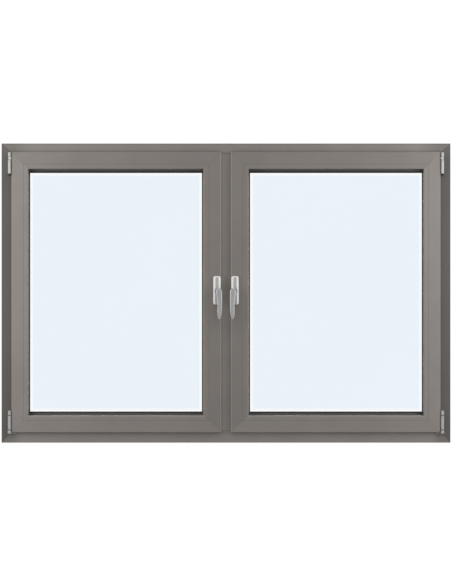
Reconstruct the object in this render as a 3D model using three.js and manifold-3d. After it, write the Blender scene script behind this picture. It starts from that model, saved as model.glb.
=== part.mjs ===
// A two-sash casement window: PVC profiles with a fixed mullion, and two tilt-and-turn sashes that mirror each
// other. Millimetres, +Z up. The origin is the middle of the frame's underside, halfway through the frame's depth.
// The room is on the -Y side, and the outside is on the +Y side.
import * as THREE from "three";
import { mergeVertices } from "three/addons/utils/BufferGeometryUtils.js";
import Module from "manifold-3d";

const wasm = await Module();
wasm.setup();

// Driving dimensions.
const WINDOW = { width: 1800, height: 1200, depth: 70 };
const MARGIN = { side: 40, head: 34, sill: 42, mullion: 39 }; // frame left visible round the closed sashes
const GAP = 0.3; // clearance between pieces that touch
const OVERLAP = 8; // sash lip over the frame's face
const REBATE = 12; // hardware space between the frame's wall and the sash's body
const STOP_LIP = { width: 20, thickness: 8 }; // the frame's outside lip, which the sash closes against
const SASH = { proud: 15, lip: 11.5, back: 24, wall: 48.2, innerEdge: 66, grooveDepth: 10 };
const BEAD = { outer: 48.6, draft: 1.5, inner: { left: 69, right: 72.6, top: 69.5, bottom: 68.5 } };
const GLASS = { edge: 53, thickness: 4, inner: -13, outer: 7 }; // y of each pane's room side
const GLASS_IN_VIEW = { left: 73.4, right: 77.3, top: 83.6, bottom: 82.2 }; // from the sash's outer edge
const GROOVE = { low: -30, high: -14 }; // y of the hardware groove's two walls
const TURN_AXIS = { x: -867.5, y: -53 };
const TILT_AXIS = { y: -53, z: 43.5 };
const HANDLE_AXIS = { x: -36, z: 611 };
const STAY = { length: 560, rise: 57.4, low: 1151, thickness: 3, pinOffset: 1.45 }; // rise is along Y
const BARREL_RADIUS = 6.4;

// Values that follow from the driving dimensions.
const FRAME_FACE = -WINDOW.depth / 2;
const FRAME_BACK = WINDOW.depth / 2;
const SASH_FACE = FRAME_FACE - SASH.proud;
const LIP_BACK = SASH_FACE + SASH.lip;
const STOP_FACE = FRAME_BACK - STOP_LIP.thickness;
const FACE_WIDTH = { side: MARGIN.side + OVERLAP, head: MARGIN.head + OVERLAP, sill: MARGIN.sill + OVERLAP };
const MULLION_HALF = MARGIN.mullion / 2 + OVERLAP;
const SASH_BODY = OVERLAP + REBATE; // from the sash's outer edge to its body's wall
const OPENING = {
  x0: -WINDOW.width / 2 + FACE_WIDTH.side,
  x1: -MULLION_HALF,
  z0: FACE_WIDTH.sill,
  z1: WINDOW.height - FACE_WIDTH.head,
};
const SASH_RECT = {
  x0: OPENING.x0 - OVERLAP,
  x1: OPENING.x1 + OVERLAP,
  z0: OPENING.z0 - OVERLAP,
  z1: OPENING.z1 + OVERLAP,
};
const GROOVE_MIDDLE = (GROOVE.low + GROOVE.high) / 2;

const finish = (color, roughness, metalness = 0) =>
  new THREE.MeshStandardMaterial({ color, roughness, metalness });
const MATERIALS = {
  foil: finish("#7d7771", 0.5),
  bead: finish("#7b756f", 0.5),
  rubber: finish("#232323", 0.8),
  glass: finish("#e9f2f8", 0.05),
  handle: finish("#c4c5c6", 0.32, 1),
  cover: finish("#b4b3b1", 0.4, 0.6),
  steel: finish("#b9bbbd", 0.4, 1),
  spacer: finish("#8f9296", 0.5, 1),
};

// A closed outline through corners [x, y, radius], whose radius rounds the corner.
function outlineOf(corners, Path = THREE.Shape) {
  const path = new Path();
  const towards = ([x, y], [tx, ty], distance) => {
    const step = distance / Math.hypot(tx - x, ty - y);
    return [x + (tx - x) * step, y + (ty - y) * step];
  };
  corners.forEach((corner, i) => {
    const before = corners[(i + corners.length - 1) % corners.length];
    const after = corners[(i + 1) % corners.length];
    const radius = corner[2] ?? 0;
    const start = radius ? towards(corner, before, radius) : corner;
    if (i === 0) path.moveTo(start[0], start[1]);
    else path.lineTo(start[0], start[1]);
    if (radius) path.quadraticCurveTo(corner[0], corner[1], ...towards(corner, after, radius));
  });
  path.closePath();
  return path;
}

const rectangle = (x0, y0, x1, y1, radius = 0) => [
  [x0, y0, radius],
  [x1, y0, radius],
  [x1, y1, radius],
  [x0, y1, radius],
];

// A profile's section: its outline with its open chambers.
function sectionOf(corners, chambers = []) {
  const shape = outlineOf(corners);
  shape.holes = chambers.map((chamber) => outlineOf(rectangle(...chamber), THREE.Path));
  return shape;
}

// Joining and cutting.
function solidOf(geometry) {
  const plain = new THREE.BufferGeometry().setAttribute("position", geometry.getAttribute("position"));
  if (geometry.index) plain.setIndex(geometry.index);
  const merged = mergeVertices(plain, 1e-4);
  const triVerts = new Uint32Array(merged.index.array);
  const vertProperties = merged.attributes.position.array;
  return new wasm.Manifold(new wasm.Mesh({ numProp: 3, vertProperties, triVerts }));
}

function geometryOf(solid) {
  const mesh = solid.getMesh();
  const geometry = new THREE.BufferGeometry();
  geometry.setAttribute("position", new THREE.BufferAttribute(new Float32Array(mesh.vertProperties), 3));
  geometry.setIndex(new THREE.BufferAttribute(new Uint32Array(mesh.triVerts), 1));
  const flat = geometry.toNonIndexed();
  flat.computeVertexNormals();
  return flat;
}

const joined = (...pieces) => geometryOf(pieces.map(solidOf).reduce((a, b) => a.add(b)));
const cut = (piece, ...tools) => geometryOf(tools.map(solidOf).reduce((a, b) => a.subtract(b), solidOf(piece)));

function box(x0, y0, z0, x1, y1, z1) {
  const geometry = new THREE.BoxGeometry(x1 - x0, y1 - y0, z1 - z0);
  return geometry.translate((x0 + x1) / 2, (y0 + y1) / 2, (z0 + z1) / 2);
}

// A round bar from low to high along an axis through a point.
function rod(axis, [x, y, z], radius, low, high, sides = 24) {
  const geometry = new THREE.CylinderGeometry(radius, radius, high - low, sides);
  const middle = (low + high) / 2;
  if (axis === "x") return geometry.rotateZ(Math.PI / 2).translate(middle, y, z);
  if (axis === "y") return geometry.translate(x, middle, z);
  return geometry.rotateX(Math.PI / 2).translate(x, y, middle);
}

// A turned piece on a vertical axis, from [radius, z] corners that start and end on the axis or close up.
function turned(profile, { x, y }, sides = 32) {
  const points = profile.map(([radius, z]) => new THREE.Vector2(radius, z));
  return new THREE.LatheGeometry(points, sides).rotateX(Math.PI / 2).translate(x, y, 0);
}

// A plate drawn in X and Z, with its back at y = back and its face towards the room.
function plate(shape, back, face, options = {}) {
  const bevel = options.bevel ?? 0;
  const geometry = new THREE.ExtrudeGeometry(shape, {
    depth: back - face - 2 * bevel,
    curveSegments: options.segments ?? 6,
    bevelEnabled: bevel > 0,
    bevelThickness: bevel,
    bevelSize: bevel,
    bevelOffset: -bevel,
    bevelSegments: 3,
  });
  return geometry.rotateX(Math.PI / 2).translate(0, back - bevel, 0);
}

// Four mitred bars round a rectangle. The section is drawn in (distance in from the outer edge, y), and each
// side's width scale stretches it, so that bars of different widths still meet along one mitre.
function mitredBars(rect, section, scale = { left: 1, right: 1, top: 1, bottom: 1 }) {
  const bar = (side) => {
    const upright = side === "left" || side === "right";
    const [startSide, endSide] = upright ? ["bottom", "top"] : ["left", "right"];
    const [start, end] = upright ? [rect.z0, rect.z1] : [rect.x0, rect.x1];
    const geometry = new THREE.ExtrudeGeometry(section, { depth: 1, bevelEnabled: false, curveSegments: 2 });
    const position = geometry.getAttribute("position");
    for (let i = 0; i < position.count; i++) {
      const u = position.getX(i);
      const inward = u * scale[side];
      const seam = (end_) => u * scale[end_] + (GAP / 2) * Math.hypot(1, scale[end_] / scale[side]);
      const along = position.getZ(i) < 0.5 ? start + seam(startSide) : end - seam(endSide);
      const places = {
        left: [rect.x0 + inward, along],
        right: [rect.x1 - inward, along],
        bottom: [along, rect.z0 + inward],
        top: [along, rect.z1 - inward],
      };
      position.setXYZ(i, places[side][0], position.getY(i), places[side][1]);
    }
    return facingOut(geometry);
  };
  return { left: bar("left"), right: bar("right"), top: bar("top"), bottom: bar("bottom") };
}

// Turns every face round when the mapping has left the solid inside out.
function facingOut(geometry) {
  const position = geometry.getAttribute("position");
  const [a, b, c] = [new THREE.Vector3(), new THREE.Vector3(), new THREE.Vector3()];
  let volume = 0;
  for (let i = 0; i < position.count; i += 3) {
    a.fromBufferAttribute(position, i);
    b.fromBufferAttribute(position, i + 1);
    c.fromBufferAttribute(position, i + 2);
    volume += a.dot(b.cross(c));
  }
  if (volume < 0) {
    for (let i = 0; i < position.count; i += 3) {
      b.fromBufferAttribute(position, i + 1);
      c.fromBufferAttribute(position, i + 2);
      position.setXYZ(i + 1, c.x, c.y, c.z);
      position.setXYZ(i + 2, b.x, b.y, b.z);
    }
  }
  geometry.computeVertexNormals();
  return geometry;
}

// A flat rectangular ring in the window's plane, from an outer to an inner rectangle, between two y values.
function ring(outer, inner, back, face, radius = 0) {
  const shape = outlineOf(rectangle(outer.x0, outer.z0, outer.x1, outer.z1, radius));
  shape.holes = [outlineOf(rectangle(inner.x0, inner.z0, inner.x1, inner.z1, radius), THREE.Path)];
  return plate(shape, back, face);
}

const inset = (rect, by) => ({ x0: rect.x0 + by, x1: rect.x1 - by, z0: rect.z0 + by, z1: rect.z1 - by });

function meshOf(name, geometry, material) {
  const mesh = new THREE.Mesh(geometry, material);
  mesh.name = name;
  return mesh;
}

// The fixed frame: four welded bars, and the mullion between head and sill.
function frameParts() {
  const width = FACE_WIDTH.side;
  const tip = width + STOP_LIP.width;
  const section = sectionOf(
    [
      [0, FRAME_FACE, 1],
      [width, FRAME_FACE, 2],
      [width, STOP_FACE],
      [tip, STOP_FACE, 1.5],
      [tip, FRAME_BACK, 1.5],
      [0, FRAME_BACK, 1],
    ],
    [
      [4, -31, width - 4, -20],
      [4, -16.5, width - 4, 12],
      [4, 15.5, width - 4, 31],
    ],
  );
  const rect = { x0: -WINDOW.width / 2, x1: WINDOW.width / 2, z0: 0, z1: WINDOW.height };
  const scale = { left: 1, right: 1, top: FACE_WIDTH.head / width, bottom: FACE_WIDTH.sill / width };
  const bars = mitredBars(rect, section, scale);
  return [
    meshOf("frame_head", bars.top, MATERIALS.foil),
    meshOf("frame_sill", bars.bottom, MATERIALS.foil),
    meshOf("frame_jamb_left", bars.left, MATERIALS.foil),
    meshOf("frame_jamb_right", bars.right, MATERIALS.foil),
    meshOf("mullion", mullion(scale), MATERIALS.foil),
  ];
}

// The mullion stands on the sill and under the head, and its ends are milled back over their stop lips.
function mullion(scale) {
  const half = MULLION_HALF;
  const tip = half + STOP_LIP.width;
  const section = sectionOf(
    [
      [-half, FRAME_FACE, 2],
      [half, FRAME_FACE, 2],
      [half, STOP_FACE],
      [tip, STOP_FACE, 1.5],
      [tip, FRAME_BACK, 1.5],
      [-tip, FRAME_BACK, 1.5],
      [-tip, STOP_FACE, 1.5],
      [-half, STOP_FACE],
    ],
    [
      [4 - half, -31, half - 4, -20],
      [4 - half, -16.5, half - 4, 12],
      [4 - half, 15.5, half - 4, 31],
    ],
  );
  const low = OPENING.z0 + GAP;
  const high = OPENING.z1 - GAP;
  const bar = new THREE.ExtrudeGeometry(section, { depth: high - low, bevelEnabled: false, curveSegments: 2 });
  bar.translate(0, 0, low);
  const lipAtSill = FACE_WIDTH.sill + STOP_LIP.width * scale.bottom + GAP;
  const lipAtHead = WINDOW.height - FACE_WIDTH.head - STOP_LIP.width * scale.top - GAP;
  const milled = STOP_FACE - GAP;
  return cut(
    bar,
    box(-tip - 1, milled, low - 1, tip + 1, FRAME_BACK + 1, lipAtSill),
    box(-tip - 1, milled, lipAtHead, tip + 1, FRAME_BACK + 1, high + 1),
  );
}

// The left opening's fittings on the fixed frame.
function frameFittings() {
  return [
    meshOf("left_stop_gasket", stopGasket(), MATERIALS.rubber),
    meshOf("left_lower_hinge_bearing", lowerBearing(), MATERIALS.cover),
    meshOf("left_upper_hinge_bearing", upperBearing(), MATERIALS.cover),
    meshOf("left_striker", striker(), MATERIALS.steel),
  ];
}

function stopGasket() {
  return ring(inset(OPENING, 12.5), inset(OPENING, 17), STOP_FACE - GAP, SASH.back + GAP, 2);
}

// The fork that holds the lower hinge's pin block, screwed to the frame's face under the barrel.
const LOWER_HINGE = { low: 37.5, fork: 50, barrel: 53.5, groove: 109.4, cap: 114.6, high: 129.3 };

function lowerBearing() {
  const { x } = TURN_AXIS;
  const back = FRAME_FACE - GAP;
  const body = rod("z", [x, TURN_AXIS.y], BARREL_RADIUS, LOWER_HINGE.low, LOWER_HINGE.fork, 32);
  const heel = box(x - BARREL_RADIUS, TURN_AXIS.y, LOWER_HINGE.low, x + BARREL_RADIUS, back, LOWER_HINGE.fork);
  const slot = box(x - 3.4, -70, LOWER_HINGE.low - 1, x + 3.4, TURN_AXIS.y + 7, LOWER_HINGE.fork + 1);
  const bore = rod("x", [x, TILT_AXIS.y, TILT_AXIS.z], 2.5, x - 10, x + 10, 16);
  return cut(joined(body, heel), slot, bore);
}

// The lower hinge's pin block: the upright pin that the sash turns on, on a cross pin that lets it tilt.
function lowerPin() {
  const { x, y } = TURN_AXIS;
  const foot = rod("x", [x, TILT_AXIS.y, TILT_AXIS.z], 5, x - 3, x + 3, 20);
  const crossPin = rod("x", [x, TILT_AXIS.y, TILT_AXIS.z], 2.2, x - 5.9, x + 5.9, 16);
  const collar = rod("z", [x, y], 3, TILT_AXIS.z, LOWER_HINGE.fork + 1, 20);
  const flange = rod("z", [x, y], 5.8, LOWER_HINGE.fork + 1, LOWER_HINGE.barrel - GAP, 24);
  const pin = rod("z", [x, y], 3.5, LOWER_HINGE.fork + 1.5, 110, 24);
  return joined(foot, crossPin, collar, flange, pin);
}

// The sash's half of the lower hinge: a barrel with a cap, and a cranked leaf that passes behind the sash's lip
// to the groove in its body.
const CRANK = { front: LIP_BACK + 1, back: FRAME_FACE - 1.1 };

function crank(x, z0, z1) {
  const { y } = TURN_AXIS;
  const rebateSide = SASH_RECT.x0 + SASH_BODY - GAP;
  const web = box(x - 1, y + 4.5, z0, x + 3, CRANK.back, z1);
  const strip = box(x - 1, CRANK.front, z0, rebateSide - 5, CRANK.back, z1);
  return [web, strip];
}

function lowerLeaf() {
  const { barrel, groove, cap, high } = LOWER_HINGE;
  const radius = BARREL_RADIUS;
  const profile = [
    [3.9, barrel],
    [radius, barrel],
    [radius, groove],
    [radius - 1, groove + 0.8],
    [radius - 1, cap - 0.8],
    [radius, cap],
    [radius, high - 1.5],
    [radius - 1.5, high],
    [0, high],
    [0, groove + 2.6],
    [3.9, groove + 2.6],
    [3.9, barrel],
  ];
  const barrelSolid = turned(profile, TURN_AXIS);
  const wall = SASH_RECT.x0 + SASH_BODY - GAP;
  const plateInRebate = box(wall - 6, CRANK.front, 60, wall - 3, -12, 106);
  return joined(barrelSolid, ...crank(TURN_AXIS.x, 60, 106), plateInRebate, box(wall - 6, -22, 66, wall, -12, 100));
}

// The frame's half of the upper hinge: two knuckles on one plate, with room between them for the stay's knuckle.
const UPPER_HINGE = { low: 1079, split: 1132.5, rejoin: 1148.6, high: 1164, pinRadius: 2.2 };

function upperBearing() {
  const { x, y } = TURN_AXIS;
  const radius = BARREL_RADIUS;
  const { low, split, rejoin, high, pinRadius } = UPPER_HINGE;
  const lower = turned(
    [
      [0, low],
      [radius - 2, low],
      [radius, low + 3],
      [radius, split],
      [0, split],
    ],
    TURN_AXIS,
  );
  const upper = turned(
    [
      [0, rejoin],
      [radius, rejoin],
      [radius, high - 2],
      [radius - 2, high],
      [0, high],
    ],
    TURN_AXIS,
  );
  const back = FRAME_FACE - GAP;
  const lowerHeel = box(x - radius, y, low + 3, x + radius, back, split);
  const upperHeel = box(x - radius, y, rejoin, x + radius, back, high - 2);
  const link = box(x - radius, -39, split - 1, x - 3.8, back, rejoin + 1);
  const bore = rod("z", [x, y], pinRadius + 0.4, low + 8, high - 5, 24);
  return cut(joined(lower, upper, lowerHeel, upperHeel, link), bore);
}

function upperPin() {
  const { low, high, pinRadius } = UPPER_HINGE;
  return rod("z", [TURN_AXIS.x, TURN_AXIS.y], pinRadius, low + 8.5, high - 5.5, 24);
}

// The stay arm pivots on a stud on top of the top rail. Its crank passes behind the sash's lip to a knuckle round
// the upper hinge pin, whose wide bore takes up the few millimetres by which the knuckle shifts as the sash tilts.
function stayArm() {
  const knuckleX = TURN_AXIS.x + STAY.pinOffset;
  const { y } = TURN_AXIS;
  const z0 = UPPER_HINGE.split + 2.5;
  const z1 = UPPER_HINGE.rejoin - 2.6;
  const high = STAY.low + STAY.thickness;
  const knuckle = cut(
    rod("z", [knuckleX, y], BARREL_RADIUS, z0, z1, 32),
    rod("z", [knuckleX, y], UPPER_HINGE.pinRadius + 2.4, z0 - 1, z1 + 1, 24),
  );
  const rebateEnd = SASH_RECT.x0 + SASH_BODY - GAP - 5;
  const upright = box(rebateEnd - 3, CRANK.front, z0, rebateEnd, GROOVE.high, high);
  const stud = { x: knuckleX + Math.sqrt(STAY.length ** 2 - STAY.rise ** 2), y: y + STAY.rise };
  const start = { x: rebateEnd - 3, y: CRANK.front + 3 };
  const arm = new THREE.ExtrudeGeometry(
    outlineOf([
      [start.x, start.y],
      [start.x + 60, start.y],
      [stud.x, stud.y - 7],
      [stud.x, stud.y + 7],
      [start.x + 60, GROOVE.high],
      [start.x, GROOVE.high],
    ]),
    { depth: STAY.thickness, bevelEnabled: false },
  ).translate(0, 0, STAY.low);
  const tip = rod("z", [stud.x, stud.y], 7, STAY.low, high, 24);
  const pivot = rod("z", [stud.x, stud.y], 5, SASH_RECT.z1 - SASH_BODY + 0.5, STAY.low + 1, 20);
  return joined(knuckle, ...crank(knuckleX, z0, z1), upright, arm, tip, pivot);
}

// A striker plate on the mullion's wall, low enough to stay clear of the cams as the sash swings past it.
function striker() {
  const wall = OPENING.x1 - GAP;
  const base = box(wall - 1.2, -31, 395, wall, -11, 475);
  const ramp = box(wall - 1.9, -31, 405, wall, -27.5, 465);
  return joined(base, ramp);
}

// The sash's four bars, with the spindle's hole through the handle stile.
function sashParts() {
  const { wall, innerEdge, back, grooveDepth } = SASH;
  const body = SASH_BODY;
  const section = sectionOf(
    [
      [0, SASH_FACE, 2.5],
      [wall, SASH_FACE, 0.3],
      [wall, 14],
      [innerEdge, 14, 1],
      [innerEdge, back, 1.5],
      [body, back, 1],
      [body, GROOVE.high],
      [body + grooveDepth, GROOVE.high],
      [body + grooveDepth, GROOVE.low],
      [body, GROOVE.low],
      [body, LIP_BACK],
      [0, LIP_BACK, 1],
    ],
    [
      [4, -47, wall - 3, -41],
      [33.5, -37.5, wall - 3, -17],
      [23, -10.5, wall - 3, 10.5],
      [24, 17, innerEdge - 4, 21],
    ],
  );
  const bars = mitredBars(SASH_RECT, section);
  const drill = rod("y", [HANDLE_AXIS.x, 0, HANDLE_AXIS.z], 6.2, SASH_FACE - 1, GROOVE.low + 1, 24);
  return [
    meshOf("left_sash_top_rail", bars.top, MATERIALS.foil),
    meshOf("left_sash_bottom_rail", bars.bottom, MATERIALS.foil),
    meshOf("left_sash_hinge_stile", bars.left, MATERIALS.foil),
    meshOf("left_sash_handle_stile", cut(bars.right, drill), MATERIALS.foil),
  ];
}

// Glazing beads, with a slight draft on their inner side, mitred at the corners.
function beadParts() {
  const front = SASH_FACE;
  const back = GLASS.inner - 3.4;
  const width = BEAD.inner.left - BEAD.outer;
  const section = sectionOf(
    [
      [0, front, 0.3],
      [width - BEAD.draft, front, 2.5],
      [width, back, 0.8],
      [0, back],
    ],
    [[3, front + 3, width - BEAD.draft - 3, back - 3]],
  );
  const scale = {};
  for (const [side, inner] of Object.entries(BEAD.inner)) scale[side] = (inner - BEAD.outer) / width;
  const bars = mitredBars(inset(SASH_RECT, BEAD.outer), section, scale);
  return [
    meshOf("left_bead_top", bars.top, MATERIALS.bead),
    meshOf("left_bead_bottom", bars.bottom, MATERIALS.bead),
    meshOf("left_bead_hinge_side", bars.left, MATERIALS.bead),
    meshOf("left_bead_handle_side", bars.right, MATERIALS.bead),
  ];
}

// The sealed glass unit and the seals of the sash.
function glazingParts() {
  const edge = inset(SASH_RECT, GLASS.edge);
  const pane = (front) => {
    const shape = outlineOf(rectangle(edge.x0, edge.z0, edge.x1, edge.z1));
    return plate(shape, front + GLASS.thickness, front);
  };
  const spacer = ring(edge, inset(edge, 12), GLASS.outer - GAP, GLASS.inner + GLASS.thickness + GAP);
  const inView = {
    x0: SASH_RECT.x0 + GLASS_IN_VIEW.left,
    x1: SASH_RECT.x1 - GLASS_IN_VIEW.right,
    z0: SASH_RECT.z0 + GLASS_IN_VIEW.bottom,
    z1: SASH_RECT.z1 - GLASS_IN_VIEW.top,
  };
  const innerGasket = ring(inset(SASH_RECT, 52), inView, GLASS.inner - GAP, GLASS.inner - 3.1, 1.5);
  const outerFront = GLASS.outer + GLASS.thickness;
  const outerGasket = ring(inset(SASH_RECT, 50), inset(SASH_RECT, 65), 14 - GAP, outerFront + GAP);
  return [
    meshOf("left_inner_pane", pane(GLASS.inner), MATERIALS.glass),
    meshOf("left_outer_pane", pane(GLASS.outer), MATERIALS.glass),
    meshOf("left_spacer_bar", spacer, MATERIALS.spacer),
    meshOf("left_inner_glazing_gasket", innerGasket, MATERIALS.rubber),
    meshOf("left_outer_glazing_gasket", outerGasket, MATERIALS.rubber),
    meshOf("left_overlap_gasket", overlapGasket(), MATERIALS.rubber),
  ];
}

// The seal on the back of the sash's lip, thinned where the two cranked hinge leaves pass behind it.
function overlapGasket() {
  const seal = ring(inset(SASH_RECT, 2.5), inset(SASH_RECT, 6.5), FRAME_FACE - GAP, LIP_BACK + GAP);
  const x0 = SASH_RECT.x0;
  const thinned = (z0, z1) => box(x0, CRANK.front - GAP, z0, x0 + 10, FRAME_FACE + 1, z1);
  return cut(seal, thinned(58, 108), thinned(1132, 1149));
}

// The lock: a gear case in the handle stile's groove, and the rod behind it with its mushroom cams.
const CAM_HEIGHTS = [180, 420, 790, 1030];

function lockParts() {
  const edge = SASH_RECT.x1;
  const caseSolid = box(edge - 26.9, GROOVE.low + GAP, 551, edge - 10, GROOVE.high - GAP, 671);
  const spindleHole = rod("y", [HANDLE_AXIS.x, 0, HANDLE_AXIS.z], 5.4, GROOVE.low - 1, GROOVE.high + 1, 24);
  const strip = box(edge - 29.7, GROOVE.low + 0.5, 90, edge - 27.2, GROOVE.high - 0.5, 1080);
  const cams = CAM_HEIGHTS.map((z) => rod("x", [0, GROOVE_MIDDLE, z], 4, edge - 27.5, edge - 12, 16));
  return [
    meshOf("left_gearbox", cut(caseSolid, spindleHole), MATERIALS.steel),
    meshOf("left_lock_rod", joined(strip, ...cams), MATERIALS.steel),
  ];
}

// The handle: a base plate on the sash's face, the lever, and the square spindle into the gear case.
const BASE_PLATE = { width: 30, height: 114, thickness: 9 };
const LEVER = {
  head: { x: -29, z: 608, radius: 12.5 },
  tip: { x: -23.6, z: 503, radius: 7 },
  neck: 8.5, // radius
  back: -90,
  face: -106,
};

function handleParts() {
  const { x, z } = HANDLE_AXIS;
  const { width, height, thickness } = BASE_PLATE;
  const outline = rectangle(x - width / 2, z - height / 2, x + width / 2, z + height / 2, 9);
  const back = SASH_FACE - GAP;
  const base = plate(outlineOf(outline), back, back - thickness, { bevel: 2.5, segments: 5 });
  const neckHole = rod("y", [x, 0, z], LEVER.neck + GAP, back - thickness - 1, back + 1, 32);
  const spindle = box(x - 3.5, SASH_FACE - 1.2, z - 3.5, x + 3.5, GROOVE.high - 2, z + 3.5);
  return [
    meshOf("left_handle_base", cut(base, neckHole), MATERIALS.handle),
    meshOf("left_handle_lever", lever(), MATERIALS.handle),
    meshOf("left_handle_spindle", spindle, MATERIALS.steel),
  ];
}

// The lever hangs from its neck, set over towards the mullion, and tapers to a round tip.
function lever() {
  const { head, tip, back, face } = LEVER;
  const shape = new THREE.Shape();
  shape.moveTo(head.x - head.radius, head.z);
  shape.absarc(head.x, head.z, head.radius, Math.PI, 0, true);
  const narrowing = 45;
  shape.bezierCurveTo(head.x + head.radius, head.z - narrowing, tip.x + 9, tip.z + 60, tip.x + tip.radius, tip.z);
  shape.absarc(tip.x, tip.z, tip.radius, 0, -Math.PI, true);
  shape.bezierCurveTo(tip.x - 9, tip.z + 60, head.x - head.radius, head.z - narrowing, head.x - head.radius, head.z);
  const grip = plate(shape, back, face, { bevel: 4, segments: 10 });
  const neck = rod("y", [HANDLE_AXIS.x, 0, HANDLE_AXIS.z], LEVER.neck, back - 8, SASH_FACE - 1.5, 32);
  return joined(grip, neck);
}

function leftSide() {
  const side = new THREE.Group();
  side.add(...frameFittings(), ...sashParts(), ...beadParts(), ...glazingParts(), ...lockParts(), ...handleParts());
  side.add(
    meshOf("left_upper_hinge_pin", upperPin(), MATERIALS.steel),
    meshOf("left_lower_hinge_pin", lowerPin(), MATERIALS.steel),
    meshOf("left_lower_hinge_leaf", lowerLeaf(), MATERIALS.cover),
    meshOf("left_stay_arm", stayArm(), MATERIALS.steel),
  );
  return side;
}

// The right half is the left one's mirror image, with its own names.
function mirrored(side) {
  const other = side.clone();
  other.scale.x = -1;
  other.children.forEach((mesh) => {
    mesh.name = mesh.name.replace("left_", "right_");
  });
  return other;
}

const casementWindow = new THREE.Group();
const left = leftSide();
casementWindow.add(...frameParts(), left, mirrored(left));

export default casementWindow;
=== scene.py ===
import math
import bmesh
import bpy
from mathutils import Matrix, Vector


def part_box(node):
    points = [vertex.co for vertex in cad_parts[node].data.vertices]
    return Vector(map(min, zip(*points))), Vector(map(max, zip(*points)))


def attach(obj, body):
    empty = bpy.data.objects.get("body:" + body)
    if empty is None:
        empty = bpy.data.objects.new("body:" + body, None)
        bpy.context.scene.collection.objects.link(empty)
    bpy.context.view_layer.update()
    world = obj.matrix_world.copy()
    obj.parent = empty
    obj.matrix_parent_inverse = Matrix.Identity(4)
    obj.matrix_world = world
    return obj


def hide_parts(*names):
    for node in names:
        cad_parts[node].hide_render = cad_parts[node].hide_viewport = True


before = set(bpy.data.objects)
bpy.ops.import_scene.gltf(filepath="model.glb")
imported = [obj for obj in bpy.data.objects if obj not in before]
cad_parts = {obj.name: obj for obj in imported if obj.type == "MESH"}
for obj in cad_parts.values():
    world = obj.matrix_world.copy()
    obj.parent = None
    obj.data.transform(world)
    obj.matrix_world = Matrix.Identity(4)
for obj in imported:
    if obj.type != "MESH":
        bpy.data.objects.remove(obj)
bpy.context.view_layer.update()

MM = 0.001
SIDES = {"left": 1, "right": -1}  # the right half mirrors the left one in X

# Places worked out from the CAD nodes, in metres.
FRAME_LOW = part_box("frame_sill")[0]
FRAME_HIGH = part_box("frame_head")[1]
FRAME_FACE = FRAME_LOW.y
SASH_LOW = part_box("left_sash_hinge_stile")[0]
SASH_HIGH = Vector((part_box("left_sash_handle_stile")[1].x, 0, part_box("left_sash_top_rail")[1].z))
SASH_FACE = SASH_LOW.y
PIN = (sum(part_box("left_upper_hinge_pin"), Vector()) / 2).xy
HANDLE = sum(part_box("left_handle_spindle"), Vector()) / 2
PLATE_LOW, PLATE_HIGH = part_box("left_handle_base")
RECESS_ARCH = PLATE_HIGH.z - 12 * MM  # where the arched end of the plate's recess starts


# --------------------------------------------------------------------------------------------------
# Materials
# --------------------------------------------------------------------------------------------------

class Nodes:
    """A short way to build a material's node tree."""

    def __init__(self, name):
        self.material = bpy.data.materials.new(name)
        self.material.use_nodes = True
        self.tree = self.material.node_tree
        self.shader = self.tree.nodes["Principled BSDF"]

    def add(self, kind, values=None, **settings):
        node = self.tree.nodes.new(kind)
        for key, value in settings.items():
            setattr(node, key, value)
        for socket, value in (values or {}).items():
            self.put(node, socket, value)
        return node

    def put(self, node, socket, value):
        """Links an output into a socket, or sets the socket's value."""
        if isinstance(value, bpy.types.NodeSocket):
            self.tree.links.new(value, node.inputs[socket])
        else:
            node.inputs[socket].default_value = value

    def coordinates(self, scale):
        """Object coordinates stretched by scale along X, Y and Z."""
        place = self.add("ShaderNodeTexCoord").outputs["Object"]
        return self.add("ShaderNodeMapping", {"Vector": place, "Scale": scale}).outputs["Vector"]

    def place(self, axis):
        """Where the surface is on the window: x, y or z, width for the distance from the middle in X, or
        recess for the distance from the middle line of a handle plate's recess."""
        parts = self.add("ShaderNodeSeparateXYZ", {0: self.coordinates((1, 1, 1))}).outputs
        if axis == "width":
            return self.math("ABSOLUTE", parts["X"])
        if axis == "recess":
            aside = self.math("ADD", self.math("ABSOLUTE", parts["X"]), HANDLE.x)
            above = self.math("MAXIMUM", self.math("SUBTRACT", parts["Z"], RECESS_ARCH))
            squares = self.math("ADD", self.math("POWER", aside, 2), self.math("POWER", above, 2))
            return self.math("SQRT", squares)
        return parts[axis.upper()]

    def noise(self, vector, scale, detail=3.0, roughness=0.5):
        values = {"Vector": vector, "Scale": scale, "Detail": detail, "Roughness": roughness}
        return self.add("ShaderNodeTexNoise", values).outputs["Fac"]

    def ramp(self, value, low, high, start=0.0, end=1.0):
        """value mapped from start..end to low..high, and held there outside."""
        values = {"Value": value, "From Min": start, "From Max": end, "To Min": low, "To Max": high}
        return self.add("ShaderNodeMapRange", values).outputs["Result"]

    def math(self, operation, a, b=0.0):
        return self.add("ShaderNodeMath", {0: a, 1: b}, operation=operation).outputs[0]

    def tinted(self, colour, factor):
        """A colour whose brightness is multiplied by a value."""
        values = {"Factor": 1.0, "A": (*colour, 1.0), "B": factor}
        return self.add("ShaderNodeMix", values, data_type="RGBA", blend_type="MULTIPLY").outputs["Result"]

    def bump(self, height, strength, distance):
        values = {"Height": height, "Strength": strength, "Distance": distance}
        return self.add("ShaderNodeBump", values).outputs["Normal"]

    def set(self, **sockets):
        for name, value in sockets.items():
            self.put(self.shader, name.replace("_", " "), value)
        return self.material


FOIL = (0.222, 0.202, 0.186)
MIDDLE_OF_NOISE = (0.3, 0.7)  # the range where most of a noise's values lie


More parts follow.
